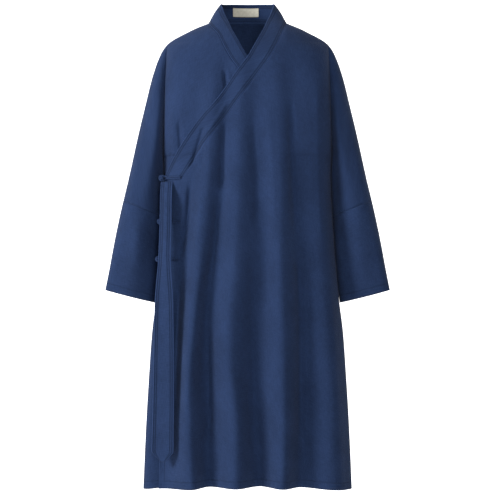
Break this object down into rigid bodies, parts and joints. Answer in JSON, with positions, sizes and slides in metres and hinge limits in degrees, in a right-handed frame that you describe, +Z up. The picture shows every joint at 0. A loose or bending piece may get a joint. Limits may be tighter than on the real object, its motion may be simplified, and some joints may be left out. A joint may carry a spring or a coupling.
{
  "type": "crossover long robe",
  "caption": "Navy crossover long robe with a topstitched collar band, cord loops, a hanging tie ribbon and wide sleeves, hollow as worn.",
  "frame": {"origin": "middle of the neck's base, level with the tops of the shoulder seams, where a wearer holds it", "axes": "+Z up, -Y out of the front, +X towards the wearer's left"},
  "size_m": [0.7114, 0.2363, 1.2158],
  "materials": {
    "navy_cloth": "matt cotton and linen weave",
    "navy_band": "matt doubled cloth with rows of topstitching",
    "cord": "matt rolled cloth cord",
    "label": "smooth woven label"
  },
  "bodies": {
    "root": {"front_outer": "navy_cloth", "front_inner": "navy_cloth", "back": "navy_cloth", "sleeve_end_left": "navy_cloth", "sleeve_end_right": "navy_cloth", "collar": "navy_band", "ribbon": "navy_cloth", "neck_label": "label", "loop_1": "cord", "loop_2": "cord", "loop_3": "cord", "knot_1": "cord", "knot_2": "cord", "knot_3": "cord"}
  },
  "joints": []
}
